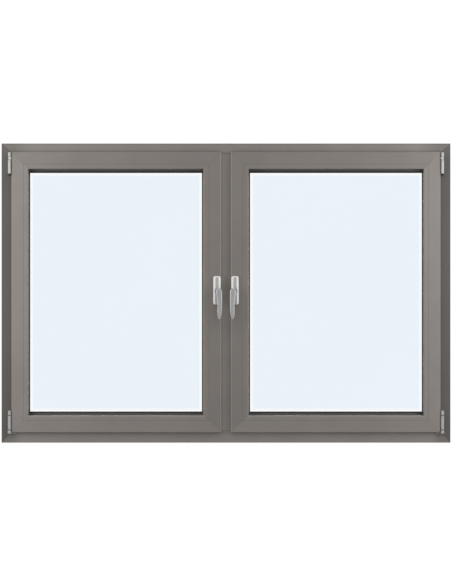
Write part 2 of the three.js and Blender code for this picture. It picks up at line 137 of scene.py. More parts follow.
def foil(name, along, tone=1.0, stretches=()):
    """Satin decor foil: a fine embossed grain that runs along the bar, with a little cloudy variation.

    Each stretch (axis, start, end, low, high) is painted light and shade: it changes the tone from low to
    high between two places on the window, in metres. tone lightens or darkens the whole bar, painted light
    and shade too.
    """
    n = Nodes(name)
    stretch = {"x": (0.06, 1.0, 1.0), "z": (1.0, 1.0, 0.06)}[along]
    grain = n.noise(n.coordinates(stretch), 1400.0, 4.0, 0.65)
    pores = n.noise(n.coordinates((1, 1, 1)), 2600.0, 2.0, 0.5)
    cloud = n.noise(n.coordinates((1, 1, 1)), 9.0, 3.0, 0.5)
    clouds = n.ramp(cloud, 0.955, 1.045, *MIDDLE_OF_NOISE)
    lines = n.ramp(grain, 0.965, 1.035, *MIDDLE_OF_NOISE)
    # Painted light and shade: tone and each stretch lighten or darken the foil's colour.
    shade = n.math("MULTIPLY", n.math("MULTIPLY", clouds, lines), tone)
    for axis, start, end, low, high in stretches:
        shade = n.math("MULTIPLY", shade, n.ramp(n.place(axis), low, high, start, end))
    relief = n.math("ADD", grain, n.math("MULTIPLY", pores, 0.5))
    return n.set(
        Base_Color=n.tinted(FOIL, shade),
        Roughness=n.ramp(grain, 0.42, 0.56, *MIDDLE_OF_NOISE),
        Normal=n.bump(relief, 0.18, 0.00012),
    )


def satin_metal(name, colour, roughness, brushed="z", metallic=1.0, stretches=()):
    """Satin anodised or painted metal: fine lines along one direction, faint handling marks, and stretches
    of painted light and shade as foil() has them."""
    n = Nodes(name)
    stretch = {"x": (0.03, 1, 1), "y": (1, 0.03, 1), "z": (1, 1, 0.03)}[brushed]
    lines = n.noise(n.coordinates(stretch), 5200.0, 3.0, 0.6)
    marks = n.noise(n.coordinates((1, 1, 1)), 60.0, 4.0, 0.6)
    rough_lines = n.ramp(lines, roughness - 0.03, roughness + 0.03, *MIDDLE_OF_NOISE)
    rough = n.math("ADD", rough_lines, n.ramp(marks, 0, 0.05, 0.4, 0.7))
    shade = n.ramp(lines, 0.96, 1.03, *MIDDLE_OF_NOISE)
    # Painted light and shade: each stretch lightens or darkens the metal's colour.
    for axis, start, end, low, high in stretches:
        shade = n.math("MULTIPLY", shade, n.ramp(n.place(axis), low, high, start, end))
    return n.set(
        Base_Color=n.tinted(colour, shade),
        Metallic=metallic,
        Roughness=rough,
        Normal=n.bump(lines, 0.05, 0.00001),
    )


def zinc_steel(name):
    """Zinc-plated steel: a bluish grey with large soft spangles and a dull shine."""
    n = Nodes(name)
    values = {"Vector": n.coordinates((1, 1, 1)), "Scale": 350.0}
    cells = n.add("ShaderNodeTexVoronoi", values).outputs["Color"]
    spangle = n.add("ShaderNodeRGBToBW", {"Color": cells}).outputs["Val"]
    dull = n.noise(n.coordinates((1, 1, 1)), 120.0, 4.0, 0.6)
    return n.set(
        Base_Color=n.tinted((0.56, 0.58, 0.61), n.ramp(spangle, 0.90, 1.06)),
        Metallic=1.0,
        Roughness=n.ramp(dull, 0.30, 0.48, *MIDDLE_OF_NOISE),
        Normal=n.bump(dull, 0.10, 0.00005),
    )


def rubber(name, colour=(0.022, 0.022, 0.023)):
    """Extruded seal rubber: matt black with a fine powdery bloom."""
    n = Nodes(name)
    bloom = n.noise(n.coordinates((1, 1, 1)), 420.0, 5.0, 0.65)
    return n.set(
        Base_Color=n.tinted(colour, n.ramp(bloom, 0.8, 1.35, 0.35, 0.7)),
        Roughness=n.ramp(bloom, 0.62, 0.8, 0.35, 0.7),
        Normal=n.bump(bloom, 0.2, 0.00006),
    )


def clear_glass(name):
    """The outer pane: clear float glass with the slight unevenness of a real pane."""
    n = Nodes(name)
    wave = n.noise(n.coordinates((1, 1, 1)), 2.5, 2.0, 0.4)
    return n.set(
        Base_Color=n.tinted((0.985, 0.992, 0.995), n.ramp(wave, 0.997, 1.0, 0.3, 0.7)),
        Roughness=0.0,
        IOR=1.45,
        Transmission_Weight=1.0,
    )


def coated_glass(name):
    """The inner pane: its cool coating stops short of the edge, and leaves a clear rim inside the seal."""
    n = Nodes(name)
    left, right, low, high = PANE_IN_VIEW
    width, height = n.place("width"), n.place("z")
    sides = n.math("MINIMUM", n.math("SUBTRACT", -left, width), n.math("ADD", width, right))
    rails = n.math("MINIMUM", n.math("SUBTRACT", height, low), n.math("SUBTRACT", high, height))
    coating = n.ramp(n.math("MINIMUM", sides, rails), 0.0, 1.0, 4 * MM, 14 * MM)
    wave = n.noise(n.coordinates((1, 1, 1)), 2.5, 2.0, 0.4)
    colours = {"Factor": coating, "A": (1, 1, 1, 1), "B": (0.861, 0.921, 0.971, 1)}
    colour = n.add("ShaderNodeMix", colours, data_type="RGBA").outputs["Result"]
    shade = {"Factor": 1.0, "A": colour, "B": n.ramp(wave, 0.997, 1.0, 0.3, 0.7)}
    return n.set(
        Base_Color=n.add("ShaderNodeMix", shade, data_type="RGBA", blend_type="MULTIPLY").outputs["Result"],
        Roughness=0.0,
        IOR=1.45,
        Transmission_Weight=1.0,
    )


# The stretch of glass between the seals on the left sash: lowest and highest x, then z.
SEAL_LOW, SEAL_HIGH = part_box("left_inner_glazing_gasket")
IN_VIEW = {"left": 73.4 * MM, "right": 77.3 * MM, "top": 83.6 * MM, "bottom": 82.2 * MM}
PANE_IN_VIEW = (
    SASH_LOW.x + IN_VIEW["left"],
    SASH_HIGH.x - IN_VIEW["right"],
    SASH_LOW.z + IN_VIEW["bottom"],
    SASH_HIGH.z - IN_VIEW["top"],
)
BEAD_EDGE = {"left": 69 * MM, "right": 72.6 * MM, "top": 69.5 * MM, "bottom": 68.5 * MM}

# Stretches of painted light and shade on the foil: painted highlights along lit edges, and painted shade on
# whole faces and towards the corners.
MEETING_EDGE = -SASH_HIGH.x
# Painted highlight: the handle stile's edge beside the mullion is painted lighter, where light catches its
# rounding.
LIT_SASH_EDGE = [("width", MEETING_EDGE + 2.2 * MM, MEETING_EDGE + 3.6 * MM, 1.5, 1.0)]
BEAD_LINE = MEETING_EDGE + BEAD_EDGE["right"]
# Painted highlight along the inner edge of the bead on the handle side.
LIT_BEAD_SIDE = [("width", BEAD_LINE - 8 * MM, BEAD_LINE - 4 * MM, 1.0, 1.2)]
LOW_BEAD_LINE = SASH_LOW.z + BEAD_EDGE["bottom"]
# Painted highlight along the inner edge of the bottom bead.
LIT_BEAD_BOTTOM = [("z", LOW_BEAD_LINE - 7 * MM, LOW_BEAD_LINE - 4 * MM, 1.0, 1.2)]
# Painted shade: the jamb's front face is painted down to half its tone.
PAINTED_FRONT_SHADE = ("y", FRAME_FACE + 0.5 * MM, FRAME_FACE + 2 * MM, 0.5, 1.0)
# Painted shade along the jamb's outer edge.
PAINTED_JAMB_EDGE_SHADE = ("width", FRAME_HIGH.x - 4 * MM, FRAME_HIGH.x - 2.5 * MM, 1.0, 0.8)
# Painted light: the jamb is painted lighter near its top, blending into the head.
PAINTED_JAMB_TOP_LIGHT = ("z", FRAME_HIGH.z - 60 * MM, FRAME_HIGH.z - 20 * MM, 1.0, 1.2)
# Painted shade along the head's top edge.
PAINTED_HEAD_EDGE_SHADE = ("z", FRAME_HIGH.z - 4 * MM, FRAME_HIGH.z - 2.5 * MM, 1.0, 0.62)
# Painted shade: the head is painted darker towards its corners, blending into the jamb's shade.
PAINTED_HEAD_CORNER_SHADE = ("width", 0.77, 0.86, 1.0, 0.70)
# Painted shade: the sill is painted darker towards its corners.
PAINTED_SILL_CORNER_SHADE = ("width", 0.82, 0.87, 1.0, 0.74)
# Painted light and shade: the mullion is painted lighter on its left and darker on its right.
PAINTED_MULLION_SHADE = ("x", -9 * MM, 9 * MM, 1.05, 0.9)
# Painted shade in the sunk middle of the handle plate's face.
PAINTED_RECESS_SHADE = ("recess", 6 * MM, 8.2 * MM, 0.55, 1.0)
# Painted light and shade: the jamb is painted lighter low down and darker towards the top.
PAINTED_JAMB_SHADE_UPWARDS = ("z", 0.3, 1.0, 1.06, 0.90)
# Painted light and shade: the handle stile is painted a little darker low down and lighter towards the top.
PAINTED_STILE_LIGHT_UPWARDS = ("z", 0.3, 1.0, 0.96, 1.01)

# Each foil's tone is painted light and shade: the bars are lighter and darker copies of one foil, after how
# the light falls on each.
MATERIALS = {
    "jamb_foil": foil("foil_jamb", "z", 0.80, [PAINTED_FRONT_SHADE, PAINTED_JAMB_EDGE_SHADE, PAINTED_JAMB_SHADE_UPWARDS, PAINTED_JAMB_TOP_LIGHT]),
    "head_foil": foil("foil_head", "x", 0.95, [PAINTED_HEAD_EDGE_SHADE, PAINTED_HEAD_CORNER_SHADE]),
    "sill_foil": foil("foil_sill", "x", 0.96, [PAINTED_SILL_CORNER_SHADE]),
    "mullion_foil": foil("foil_mullion", "z", 1.12, [PAINTED_MULLION_SHADE]),
    "rail_foil": foil("foil_rail", "x", 0.88),
    "hinge_stile_foil": foil("foil_hinge_stile", "z", 0.98),
    "low_rail_foil": foil("foil_low_rail", "x", 0.96),
    "handle_stile_foil": foil("foil_handle_stile", "z", 0.88, [*LIT_SASH_EDGE, PAINTED_STILE_LIGHT_UPWARDS]),
    "bead_side_foil": foil("foil_bead_side", "z", 0.88, LIT_BEAD_SIDE),
    "bead_bottom_foil": foil("foil_bead_bottom", "x", 0.96, LIT_BEAD_BOTTOM),
    "rubber": rubber("seal_rubber"),
    # Grey rubber for the hinge ring and washer; on the glazing seal's foot this grey is painted shade for
    # the bead's shaded slope.
    "grey_rubber": rubber("seal_foot_rubber", (0.075, 0.074, 0.073)),
    "clear_glass": clear_glass("outer_glass"),
    "coated_glass": coated_glass("inner_glass"),
    # The plate and the lever share one silver finish; the plate's near-white copy is painted light for its
    # bright rims.
    "plate": satin_metal("handle_plate_silver", (0.93, 0.93, 0.915), 0.36, "z", 0.36, [PAINTED_RECESS_SHADE]),
    "lever": satin_metal("handle_lever_silver", (0.50, 0.50, 0.505), 0.34, "z", 0.62),
    "hinge": satin_metal("hinge_cover_silver", (0.455, 0.455, 0.447), 0.46, "z", 0.3),
    "barrel": satin_metal("hinge_barrel_silver", (0.40, 0.40, 0.40), 0.46, "z", 0.3),
    "steel": zinc_steel("zinc_steel"),
    "spacer": satin_metal("spacer_bar", (0.34, 0.35, 0.37), 0.42, "x"),
}

NODE_MATERIALS = {
    "frame_jamb_left": "jamb_foil",
    "frame_jamb_right": "jamb_foil",
    "frame_head": "head_foil",
    "frame_sill": "sill_foil",
    "mullion": "mullion_foil",
    "stop_gasket": "rubber",
    "lower_hinge_bearing": "barrel",
    "upper_hinge_bearing": "hinge",
    "striker": "steel",
    "upper_hinge_pin": "steel",
    "lower_hinge_pin": "barrel",
    "lower_hinge_leaf": "barrel",
    "stay_arm": "steel",
    "sash_top_rail": "rail_foil",
    "sash_bottom_rail": "low_rail_foil",
    "sash_hinge_stile": "hinge_stile_foil",
    "sash_handle_stile": "handle_stile_foil",
    "bead_top": "rail_foil",
    "bead_bottom": "bead_bottom_foil",
    "bead_hinge_side": "hinge_stile_foil",
    "bead_handle_side": "bead_side_foil",
    "inner_pane": "coated_glass",
    "outer_pane": "clear_glass",
    "spacer_bar": "spacer",
    "inner_glazing_gasket": "rubber",
    "outer_glazing_gasket": "rubber",
    "overlap_gasket": "rubber",
    "gearbox": "steel",
    "lock_rod": "steel",
    "handle_base": "plate",
    "handle_lever": "lever",
    "handle_spindle": "steel",
}


def paint_nodes():
    """Every CAD node that stays gets its material."""
    for name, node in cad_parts.items():
        kind = name.removeprefix("left_").removeprefix("right_")
        node.data.materials.clear()
        node.data.materials.append(MATERIALS[NODE_MATERIALS[kind]])


# --------------------------------------------------------------------------------------------------
# Mesh helpers. Every piece is drawn for the left side, and the right side mirrors it.
# --------------------------------------------------------------------------------------------------

def add_piece(side, kind, bm, material, body, stands_for=(), sharp=35):
    """Makes the object SIDE_KIND from bm. It rides on the body and stands for the side's CAD nodes."""
    for vert in bm.verts:
        vert.co.x *= SIDES[side]
    bmesh.ops.recalc_face_normals(bm, faces=bm.faces)
    mesh = bpy.data.meshes.new(f"{side}_{kind}")
    bm.to_mesh(mesh)
    bm.free()
    mesh.polygons.foreach_set("use_smooth", [True] * len(mesh.polygons))
    mesh.set_sharp_from_angle(angle=math.radians(sharp))
    mesh.materials.append(MATERIALS[material])
    piece = bpy.data.objects.new(mesh.name, mesh)
    bpy.context.collection.objects.link(piece)
    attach(piece, body if body == "frame" else f"{side}_{body}")
    if stands_for:
        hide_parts(*[f"{side}_{node}" for node in stands_for])


def loft(bm, rings, closed=False):
    """Skins rings of points. The ends are capped, or joined to each other when the loft closes."""
    rows = [[bm.verts.new(point) for point in ring] for ring in rings]
    count = len(rows[0])
    pairs = list(zip(rows, rows[1:]))
    if closed:
        pairs.append((rows[-1], rows[0]))
    for a, b in pairs:
        for i in range(count):
            j = (i + 1) % count
            bm.faces.new((a[i], a[j], b[j], b[i]))
    if not closed:
        bm.faces.new(rows[0])
        bm.faces.new(rows[-1])


def turned(bm, centre, profile, axis="z", sides=48, ribs=None):
    """A turned body from (radius, height) steps round a centre. ribs(angle) scales the radius."""
    rings = []
    for radius, height in profile:
        ring = []
        for i in range(sides):
            angle = 2 * math.pi * i / sides
            r = radius * (ribs(angle) if ribs else 1.0)
            a, b = r * math.cos(angle), r * math.sin(angle)
            offset = {"z": (a, b, height), "y": (a, height, b), "x": (height, a, b)}[axis]
            ring.append(Vector(centre) + Vector(offset))
        rings.append(ring)
    loft(bm, rings)


def arc(radius, centre_radius, height, start, end, steps=6):
    """Profile steps along an arc, from one angle in degrees to another, 0 outwards and 90 up."""
    points = []
    for i in range(steps + 1):
        angle = math.radians(start + (end - start) * i / steps)
        points.append((centre_radius + radius * math.cos(angle), height + radius * math.sin(angle)))
    return points


def seal_ring(bm, outer, inner, outline):
    """A seal round a sash: outline points (share, y), from the outer rectangle (0) to the inner one (1)."""
    corners = [(0, 2), (1, 2), (1, 3), (0, 3)]
    rings = []
    for i, j in corners:
        ring = []
        for share, y in outline:
            x = outer[i] + (inner[i] - outer[i]) * share
            z = outer[j] + (inner[j] - outer[j]) * share
            ring.append((x, y, z))
        rings.append(ring)
    loft(bm, rings, closed=True)


def softened_box(bm, low, high, radius, steps=3):
    """A block between two corners with rounded edges."""
    size, middle = Vector(high) - Vector(low), (Vector(high) + Vector(low)) / 2
    made = bmesh.ops.create_cube(bm, size=1.0)["verts"]
    for vert in made:
        vert.co = Vector(c * s for c, s in zip(vert.co, size)) + middle
    edges = list({edge for vert in made for edge in vert.link_edges})
    bmesh.ops.bevel(bm, geom=edges, offset=radius, segments=steps, profile=0.5, affect="EDGES")


def screw_head(bm, centre, radius, axis="y", towards=-1, recess=0.45):
    """A countersunk head with a cross recess, facing towards the negative or positive axis."""
    sides, levels = 32, [0.12, 0.24, 0.36, 0.48, 0.6, 0.8, 0.94, 1.0]
    rings = []
    for level in levels:
        ring = []
        for i in range(sides):
            angle = 2 * math.pi * i / sides
            a, b = level * math.cos(angle), level * math.sin(angle)
            cross = min(abs(a), abs(b)) < 0.13 and max(abs(a), abs(b)) < 0.55
            height = 0.22 * (1 - level ** 4) - (recess if cross else 0)
            rise = towards * radius * height
            offset = {"y": (a * radius, rise, b * radius), "x": (rise, a * radius, b * radius)}[axis]
            ring.append(Vector(centre) + Vector(offset))
        rings.append(ring)
    foot = []
    for point in rings[-1]:
        down = Vector({"y": (0, -towards, 0), "x": (-towards, 0, 0)}[axis]) * radius * 0.3
        foot.append(point + down)
    loft(bm, rings + [foot])


# --------------------------------------------------------------------------------------------------
# Seals
# --------------------------------------------------------------------------------------------------

def inset_rectangle(by):
    """x0, x1, z0, z1 of the left sash's outline, moved inwards by a distance, or by one for each side."""
    each = by if isinstance(by, dict) else dict.fromkeys(("left", "right", "top", "bottom"), by)
    return (
        SASH_LOW.x + each["left"],
        SASH_HIGH.x - each["right"],
        SASH_LOW.z + each["bottom"],
        SASH_HIGH.z - each["top"],
    )


def make_glazing_seals(side):
    """The inner seal: a dark grey foot that slopes away from the bead, and a black lip on the glass. The
    foot's dark grey is painted shade, standing for the bead's slope in shade.
    """
    back, face = SEAL_HIGH.y - 0.1 * MM, SEAL_LOW.y + 0.2 * MM
    hidden = {key: value - 5 * MM for key, value in BEAD_EDGE.items()}
    split = {key: BEAD_EDGE[key] + (IN_VIEW[key] - BEAD_EDGE[key]) * 0.52 for key in BEAD_EDGE}
    foot = bmesh.new()
    outline = [(0, back), (0, face), (0.55, face), (0.8, face + 0.25 * MM)]
    outline += [(0.97, face + 1.0 * MM), (1, back)]
    seal_ring(foot, inset_rectangle(hidden), inset_rectangle(split), outline)
    add_piece(side, "glazing_seal_foot", foot, "grey_rubber", "sash", ["inner_glazing_gasket"])
    lip = bmesh.new()
    outline = [
        (0, back),
        (0.02, face + 1.1 * MM),
        (0.3, face + 0.9 * MM),
        (0.6, face + 1.2 * MM),
        (0.86, face + 1.9 * MM),
        (0.98, face + 2.5 * MM),
        (1, back),
    ]
    seal_ring(lip, inset_rectangle(split), inset_rectangle(IN_VIEW), outline)
    add_piece(side, "glazing_seal_lip", lip, "rubber", "sash")


def make_outer_seal(side):
    """The outside glazing seal: a wedge with two fine ribs and a thin lip on the glass."""
    low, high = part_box("left_outer_glazing_gasket")
    glass, outside = low.y + 0.1 * MM, high.y
    outline = [(0, glass), (0, outside), (0.45, outside), (0.5, outside - 0.5 * MM), (0.55, outside)]
    outline += [(0.68, outside), (0.73, outside - 0.6 * MM), (0.8, outside - 0.4 * MM)]
    outline += [(0.93, outside - 1.4 * MM), (1, glass + 0.5 * MM), (1, glass)]
    bm = bmesh.new()
    seal_ring(bm, inset_rectangle(50 * MM), inset_rectangle(65.8 * MM), outline)
    add_piece(side, "outer_glazing_seal", bm, "rubber", "sash", ["outer_glazing_gasket"])


def make_stop_seal(side):
    """The frame's seal that the sash's back closes against: a foot with a hollow-looking rounded bulb."""
    low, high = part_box("left_stop_gasket")
    depth = high.y - low.y
    foot = [(0, high.y), (0, high.y - depth * 0.25), (0.2, high.y - depth * 0.3)]
    bulb = []
    for i in range(9):
        angle = math.pi * i / 8
        bulb.append((0.55 - 0.4 * math.cos(angle), high.y - depth * (0.45 + 0.55 * math.sin(angle))))
    outline = foot + bulb + [(1, high.y - depth * 0.25), (1, high.y)]
    outer = (low.x, high.x, low.z, high.z)
    width = 4.5 * MM
    inner = (low.x + width, high.x - width, low.z + width, high.z - width)
    bm = bmesh.new()
    seal_ring(bm, outer, inner, outline)
    add_piece(side, "stop_seal", bm, "rubber", "frame", ["stop_gasket"])


# --------------------------------------------------------------------------------------------------
# Handle
# --------------------------------------------------------------------------------------------------

LEVER_LOW, LEVER_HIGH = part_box("left_handle_lever")
RIM_WIDTH = 7 * MM
RIM_HEIGHT = 3.4 * MM


def plate_half_width(z):
    """Half the base plate's width at height z: straight sides, and ends rounded off like an arch."""
    half = (PLATE_HIGH.x - PLATE_LOW.x) / 2
    reach = 9 * MM
    past = max(z - (PLATE_HIGH.z - reach), (PLATE_LOW.z + reach) - z, 0) / reach
    return half * (1 - 0.42 * (1 - math.sqrt(max(1 - past ** 2, 0))))


def plate_rise(x, z):
    """How far the base plate's face stands out of its edge: two full-length rims beside a sunk middle."""
    half = plate_half_width(z)
    edge = half - abs(x)
    end = min(PLATE_HIGH.z - z, z - PLATE_LOW.z)
    rim = math.sin(math.pi * min(max(edge / RIM_WIDTH, 0), 1)) * RIM_HEIGHT
    arch = math.hypot(max(abs(x) - 1 * MM, 0) / (7 * MM), max(11 * MM - end, 0) / (8 * MM))
    floor = 1.2 * MM + 2.0 * MM * min(max(arch - 0.75, 0) / 0.3, 1)
    inner = floor if edge > RIM_WIDTH / 2 else 0
    soft_end = min(max(end / (2.5 * MM), 0), 1)
    return max(rim, inner) * math.sqrt(1 - (1 - soft_end) ** 2)


def make_handle_base(side):
    """The base plate: a grid whose face follows plate_rise(), with walls down to the sash."""
    middle = (PLATE_LOW.x + PLATE_HIGH.x) / 2
    foot, shoulder = PLATE_HIGH.y, PLATE_LOW.y + RIM_HEIGHT
    columns, rows = 44, 90
    bm = bmesh.new()
    grid = []
    for row in range(rows + 1):
        share = (1 - math.cos(math.pi * row / rows)) / 2
        z = PLATE_LOW.z + (PLATE_HIGH.z - PLATE_LOW.z) * share
        line = []
        for column in range(columns + 1):
            x = plate_half_width(z) * (2 * column / columns - 1)
            line.append(bm.verts.new((middle + x, shoulder - plate_rise(x, z), z)))
        grid.append(line)
    for a, b in zip(grid, grid[1:]):
        for i in range(columns):
            bm.faces.new((a[i], a[i + 1], b[i + 1], b[i]))
    rim = [e for e in bm.edges if e.is_boundary]
    walls = bmesh.ops.extrude_edge_only(bm, edges=rim)["geom"]
    wall_verts = [g for g in walls if isinstance(g, bmesh.types.BMVert)]
    for vert in wall_verts:
        vert.co.y = foot
    bmesh.ops.contextual_create(bm, geom=[e for e in bm.edges if e.is_boundary])
    add_piece(side, "handle_plate", bm, "plate", "sash", ["handle_base"], 50)


def eased(value, start, end):
    """0 before start and 1 after end, with a smooth way between them."""
    share = min(max((value - start) / (end - start), 0), 1)
    return share * share * (3 - 2 * share)


def lever_ring(centre_x, z, half_width, front, back):
    """One level section of the lever: a softened rectangle with a shallow hollow along its front."""
    ring = []
    steps = 36
    power = 0.62  # under 1 squares the ellipse
    for i in range(steps):
        angle = 2 * math.pi * i / steps
        c, s = math.cos(angle), math.sin(angle)
        x = half_width * math.copysign(abs(c) ** power, c)
        y = math.copysign(abs(s) ** power, s)
        depth = (back - front) / 2
        hollow = 0.9 * MM * math.exp(-((x / (half_width * 0.45)) ** 2)) if s < -0.5 else 0
        ring.append((centre_x + x, (front + back) / 2 + depth * y + hollow, z))
    return ring


def make_lever(side):
    """The grip: straight along the mullion's side and tapered on the other, with a neck on the spindle."""
    front, back = LEVER_LOW.y, LEVER_LOW.y + 16 * MM
    right = LEVER_HIGH.x
    top, bottom = LEVER_HIGH.z, LEVER_LOW.z
    length = top - bottom
    bm = bmesh.new()
    rings = []
    levels = 46
    for i in range(levels + 1):
        share = (1 - math.cos(math.pi * i / levels)) / 2
        z = top - length * share
        width = (25 - 6.5 * eased(share, 0.05, 0.55)) * MM
        start = math.sqrt(max(1 - (1 - min(share / 0.15, 1)) ** 2, 0))
        finish = math.sqrt(max(1 - (1 - min((1 - share) / 0.28, 1)) ** 2, 0))
        half = max(width / 2 * (0.12 + 0.88 * start) * (0.15 + 0.85 * finish), 1.2 * MM)
        lean = right - width / 2 - 1.5 * MM * eased(share, 0.6, 1.0)
        thick = (0.35 + 0.65 * start) * (0.4 + 0.6 * finish)
        middle = (front + back) / 2 - 1.5 * MM * (1 - share)
        reach = (back - front) / 2 * thick * (1 - 0.18 * share)
        rings.append(lever_ring(lean, z, half, max(middle - reach, front), min(middle + reach, back)))
    loft(bm, rings)
    face = PLATE_LOW.y
    neck = [(8 * MM, back + 1 * MM), (7 * MM, back - 2 * MM), (7 * MM, face - 4 * MM)]
    neck += [(8.2 * MM, face - 1 * MM), (8.2 * MM, face + 1 * MM), (7.6 * MM, face + 2 * MM)]
    turned(bm, (HANDLE.x, 0, HANDLE.z), neck, "y")
    add_piece(side, "handle_grip", bm, "lever", "handle", ["handle_lever"], 50)


# --------------------------------------------------------------------------------------------------
# Hinges and fittings
# --------------------------------------------------------------------------------------------------

BARREL = 6.4 * MM
COVER_LOW, COVER_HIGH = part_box("left_upper_hinge_bearing")
KNUCKLE_LOW, KNUCKLE_HIGH = 1132.5 * MM, 1148.6 * MM  # the gap that the stay's knuckle fills
KNUCKLE_OFFSET = 1.45 * MM  # from the pin's middle to the knuckle's, at rest
LEAF_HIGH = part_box("left_lower_hinge_leaf")[1]
LEAF_FACE, LEAF_BACK = -37.5 * MM, -36.1 * MM  # y of the leaf's sheet behind the sash lip
LEAF_Z = (60 * MM, 106 * MM)
FOOT_LOW, FOOT_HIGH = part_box("left_lower_hinge_bearing")
CAM_HEIGHTS = [180 * MM, 420 * MM, 790 * MM, 1030 * MM]
DRAIN_PLACES = [-720 * MM, -200 * MM]
SCREW = {"radius": 3.2 * MM, "recess": 0.35}
RIVET_HEIGHTS = [120 * MM, 300 * MM, 480 * MM, 700 * MM, 910 * MM, 1060 * MM]


def two_ribs(angle):
    """Two soft lengthwise ribs on the room side of a hinge cover."""
    away = [abs(math.degrees(angle) - place) for place in (238, 302)]
    return 0.95 + 0.05 * max(math.exp(-((a / 13) ** 2)) for a in away)


def make_upper_hinge(side):
    """The stay hinge: two ribbed covers on the frame, the stay's sleeve between them, and a black end cap
    under them whose black is painted shadow, standing for the shadow below the covers.
    """
    x, y = PIN
    back = COVER_HIGH.y
    bm = bmesh.new()
    lower = [(2 * MM, COVER_LOW.z)] + arc(1 * MM, BARREL - 1 * MM, COVER_LOW.z + 1 * MM, -90, 0)
    lower += [(BARREL, KNUCKLE_LOW - 4 * MM), (BARREL - 0.6 * MM, KNUCKLE_LOW - 3.4 * MM)]
    lower += [(BARREL - 0.6 * MM, KNUCKLE_LOW - 2.6 * MM)]
    lower += [(BARREL, KNUCKLE_LOW - 2 * MM), (BARREL, KNUCKLE_LOW)]
    turned(bm, (x, y, 0), lower, ribs=two_ribs)
    upper = [(BARREL, KNUCKLE_HIGH), (BARREL, COVER_HIGH.z - 5 * MM)]
    upper += [(BARREL - 0.7 * MM, COVER_HIGH.z - 4.6 * MM), (BARREL - 0.7 * MM, COVER_HIGH.z - 4 * MM)]
    upper += arc(1 * MM, BARREL - 1 * MM, COVER_HIGH.z - 1 * MM, 0, 90)
    turned(bm, (x, y, 0), upper, ribs=two_ribs)
    half = BARREL - 0.5 * MM
    softened_box(bm, (x - half, y, COVER_LOW.z + 3 * MM), (x + half, back, KNUCKLE_LOW), 0.8 * MM)
    softened_box(bm, (x - half, y, KNUCKLE_HIGH), (x + half, back, COVER_HIGH.z - 2 * MM), 0.8 * MM)
    link = (x - BARREL, -39 * MM, KNUCKLE_LOW - 1 * MM), (x - 3.8 * MM, back, KNUCKLE_HIGH + 1 * MM)
    softened_box(bm, *link, 0.5 * MM)
    add_piece(side, "stay_hinge_cover", bm, "hinge", "frame", ["upper_hinge_bearing"])
    sleeve = bmesh.new()
    low, high = KNUCKLE_LOW + 2.5 * MM, KNUCKLE_HIGH - 2.6 * MM
    radius = BARREL + 0.18 * MM
    edge = 0.5 * MM
    steps = [(radius - edge, low), (radius, low + edge), (radius, high - edge), (radius - edge, high)]
    turned(sleeve, (x + KNUCKLE_OFFSET, y, 0), steps)
    add_piece(side, "stay_knuckle_sleeve", sleeve, "hinge", "stay")
    # Painted shadow: a black rubber cap under the covers' lower end stands for the shadow there.
    cap = bmesh.new()
    steps = [(1 * MM, COVER_LOW.z - 9 * MM)] + arc(4 * MM, 1.6 * MM, COVER_LOW.z - 5 * MM, -80, 0)
    turned(cap, (x, y + 2 * MM, 0), steps + [(5.6 * MM, COVER_LOW.z - 0.2 * MM)])
    low_corner = (x - 4 * MM, y + 3 * MM, COVER_LOW.z - 5 * MM)
    softened_box(cap, low_corner, (x + 4 * MM, back, COVER_LOW.z - 0.3 * MM), 0.8 * MM)
    add_piece(side, "stay_hinge_painted_shadow_cap", cap, "rubber", "frame")


def make_lower_hinge(side):
    """The corner hinge: the sash's long barrel with a grooved cap and its sheet, a ring and a washer."""
    x, y = PIN
    foot, top = 53.5 * MM, LEAF_HIGH.z
    groove = 109.4 * MM
    bm = bmesh.new()
    barrel = [(BARREL - 0.8 * MM, foot), (BARREL, foot + 0.8 * MM), (BARREL, foot + 17 * MM)]
    barrel += [(BARREL - 0.5 * MM, foot + 17.6 * MM), (BARREL - 0.5 * MM, foot + 18.4 * MM)]
    barrel += [(BARREL, foot + 19 * MM), (BARREL, groove - 1.4 * MM)]
    barrel += [(BARREL - 1.2 * MM, groove - 0.8 * MM), (BARREL - 1.2 * MM, groove + 2 * MM)]
    barrel += [(BARREL, groove + 2.6 * MM), (BARREL, top - 4 * MM), (BARREL - 1 * MM, top - 3.5 * MM)]
    barrel += arc(1.5 * MM, BARREL - 2.6 * MM, top - 1.5 * MM, 0, 90)
    turned(bm, (x, y, 0), barrel)
    low, high = LEAF_Z
    wall = SASH_LOW.x + 19.7 * MM  # the sash body's wall
    softened_box(bm, (x - 1 * MM, y + 4 * MM, low), (x + 3 * MM, LEAF_BACK, high), 0.5 * MM)
    softened_box(bm, (x - 1 * MM, LEAF_FACE, low), (-845.5 * MM, LEAF_BACK, high), 0.3 * MM)
    softened_box(bm, (wall - 6 * MM, LEAF_FACE, low), (wall - 3 * MM, -12 * MM, high), 0.4 * MM)
    softened_box(bm, (wall - 6 * MM, -22 * MM, 66 * MM), (wall, -12 * MM, 100 * MM), 0.4 * MM)
    add_piece(side, "corner_hinge_leaf", bm, "barrel", "sash", ["lower_hinge_leaf"])
    ring = bmesh.new()
    steps = [(BARREL - 0.6 * MM, groove - 1 * MM), (BARREL - 0.3 * MM, groove - 0.6 * MM)]
    steps += [(BARREL - 0.3 * MM, groove + 1.8 * MM), (BARREL - 0.6 * MM, groove + 2.2 * MM)]
    turned(ring, (x, y, 0), steps)
    add_piece(side, "corner_hinge_ring", ring, "grey_rubber", "sash")
    washer = bmesh.new()
    steps = [(BARREL - 0.8 * MM, 50.4 * MM), (BARREL - 0.4 * MM, 50.8 * MM)]
    steps += [(BARREL - 0.4 * MM, 52.8 * MM), (BARREL - 0.8 * MM, 53.3 * MM)]
    turned(washer, (x, y, 0), steps)
    add_piece(side, "corner_hinge_washer", washer, "grey_rubber", "pin_block")


